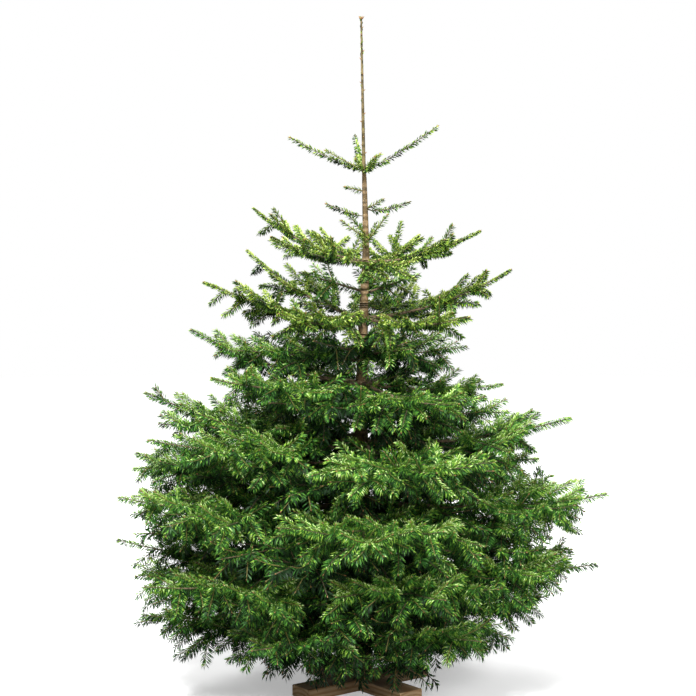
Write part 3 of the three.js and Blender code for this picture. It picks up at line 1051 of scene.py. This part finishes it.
def limbs_piece(name, lines, sides, depth, material):
    """Boughs drawn along their lines, with bark relief, joined into one piece."""
    limb = bmesh.new()
    for points, radii in lines:
        verts = draw_limb(limb, points, radii, sides)

        def centre_of(place, points=points):
            gap = np.linalg.norm(points - np.array(place), axis=1)
            return Vector(points[gap.argmin()])

        relieve(verts, centre_of, lambda place: depth, 260, 140)
    return finish_limbs(limb, name, [material])


def place_piece(piece, slot, *nodes):
    """Fixes a piece to the tree and hides the CAD nodes that it stands for; the slot is not used."""
    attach(piece, "root")
    if nodes:
        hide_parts(*nodes)


for name, rows in needle_rows.items():
    nodes = [mass.node for mass in MASSES if piece_of(mass) == name]
    place_piece(needles_piece(name, rows), foliage_slot(name), *nodes)

place_piece(tubes("twigs", twigs, TWIG_MATERIALS), "bough_bark")
BUD_SCALES = principled("bud_scales", 0.5, (0.30, 0.16, 0.06))[0]
place_piece(buds_piece("buds", bud_rows, BUD_SCALES), "bough_bark")
bough_lines = [even_limb(line["points"], line["radii"], 0.027) for line in boughs]
BOUGH_NODES = [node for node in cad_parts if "_whorl_bough_" in node]
main_boughs = limbs_piece("main_boughs", bough_lines, TWIG_SIDES[0], 0.0006, BOUGH_BARK)
place_piece(main_boughs, "bough_bark", *BOUGH_NODES)
place_piece(limbs_piece("top_shoots", top_lines, 8, 0.0003, LEADER_BARK), "bough_bark", *TOP_SHOOTS)
place_piece(trunk_piece(), "trunk_bark", "trunk")


# ---- the stand ---------------------------------------------------------------
def width_across(points, turn):
    """Width of a board across a heading."""
    return np.ptp(points[:, :2] @ [-math.sin(turn), math.cos(turn)])


def board_piece(node, name, ring_offset):
    """A sawn board: the CAD board merged, its edges eased, with grain along its length."""
    board = bmesh.new()
    board.from_mesh(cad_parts[node].data)
    bmesh.ops.remove_doubles(board, verts=board.verts, dist=1e-5)
    bmesh.ops.dissolve_limit(board, angle_limit=math.radians(1), verts=board.verts, edges=board.edges)
    bmesh.ops.bevel(board, geom=list(board.edges), affect="EDGES", offset=0.0022, segments=2, profile=0.5,
                    material=-1)
    points = mesh_points(node)
    heading = min(np.radians(np.arange(0, 180, 1)), key=lambda turn: width_across(points, turn))
    values = {"Early": (0.62, 0.43, 0.24, 1), "Late": (0.40, 0.225, 0.095, 1), "Ring Size": 26.0}
    material, look = finish_from(WOOD, f"{name}_wood", values, 0.0006, 0.6)
    tree = material.node_tree
    place = new_node(tree, "TexCoord")
    turned = new_node(tree, "Mapping", Location=(0.0, 0.0, ring_offset), Rotation=(0, 0, heading),
                      Scale=(12.0, 1.0, 1.0))
    turned.vector_type = "TEXTURE"
    tree.links.new(place.outputs["Object"], turned.inputs["Vector"])
    tree.links.new(turned.outputs["Vector"], look.inputs["Along"])
    return finish_limbs(board, name, [material], smooth=False)


place_piece(board_piece("stand_board_under", "stand_plank_under", -0.05), "stand_board", "stand_board_under")
place_piece(board_piece("stand_board_over", "stand_plank_over", -0.07), "stand_board", "stand_board_over")


# ---- camera, floor and light ----------------------------------------------------
def turned_to(target, place):
    """The turn of a camera or lamp at a place that looks at a target."""
    return (Vector(target) - Vector(place)).to_track_quat("-Z", "Y").to_euler()


def set_camera(place, target, lens):
    """The main camera."""
    data = bpy.data.cameras.new("camera")
    data.lens = lens
    camera = linked("camera", data)
    camera.location = place
    camera.rotation_euler = turned_to(target, place)
    bpy.context.scene.camera = camera


def floor_material():
    """White to the camera and brighter with distance, but grey to all else, so little light comes back."""
    material, shader = principled("floor_white", 0.9, (0.86, 0.86, 0.86), 0.1)
    tree = material.node_tree
    away = new_node(tree, "VectorMath")
    away.operation = "LENGTH"
    tree.links.new(new_node(tree, "TexCoord").outputs["Object"], away.inputs[0])
    seen = new_node(tree, "LightPath").outputs["Is Camera Ray"]
    fade = ranged(tree, away.outputs["Value"], 0.7, 3.2, 0.38, 1.0, smooth=True)
    tree.links.new(combined(tree, "MULTIPLY", fade, seen), shader.inputs["Emission Strength"])
    shader.inputs["Emission Color"].default_value = (1, 1, 1, 1)
    shade = new_node(tree, "Mix")
    shade.data_type = "RGBA"
    shade.inputs["A"].default_value = (0.36, 0.36, 0.36, 1)
    shade.inputs["B"].default_value = (0.86, 0.86, 0.86, 1)
    tree.links.new(seen, shade.inputs["Factor"])
    tree.links.new(shade.outputs["Result"], shader.inputs["Base Color"])
    return material


def lay_floor():
    """A wide round floor just under the stand."""
    disc = bmesh.new()
    bmesh.ops.create_circle(disc, cap_ends=True, segments=64, radius=14)
    data = bpy.data.meshes.new("floor")
    disc.to_mesh(data)
    disc.free()
    data.materials.append(floor_material())
    floor = linked("floor", data)
    floor.location.z = -0.0005


def light_sky(to_others, to_camera):
    """A white surround, at one strength to the camera and another to all else."""
    world = bpy.data.worlds.new("studio")
    world.use_nodes = True
    tree = world.node_tree
    sky = tree.nodes["Background"]
    sky.inputs["Color"].default_value = (1, 1, 1, 1)
    seen = new_node(tree, "LightPath").outputs["Is Camera Ray"]
    tree.links.new(ranged(tree, seen, 0.0, 1.0, to_others, to_camera), sky.inputs["Strength"])
    bpy.context.scene.world = world


def area_light(name, place, target, size, power):
    """A soft square lamp."""
    data = bpy.data.lights.new(name, "AREA")
    data.energy = power
    data.size = size
    lamp = linked(name, data)
    lamp.location = place
    lamp.rotation_euler = turned_to(target, place)


set_camera((-0.042, -4.6, 1.25), (-0.042, 0, 1.022), 79.7)
lay_floor()
light_sky(0.22, 1.0)
area_light("key_light", (-1.2, -3.2, 4.6), (0, 0, 0.8), 1.2, 480)
area_light("fill_light", (1.9, -4.0, 2.7), (0, 0, 0.7), 2.0, 165)
area_light("back_light", (-1.0, 3.2, 4.2), (0, 0, 0.8), 2.0, 160)
bpy.context.scene.view_settings.view_transform = "Standard"
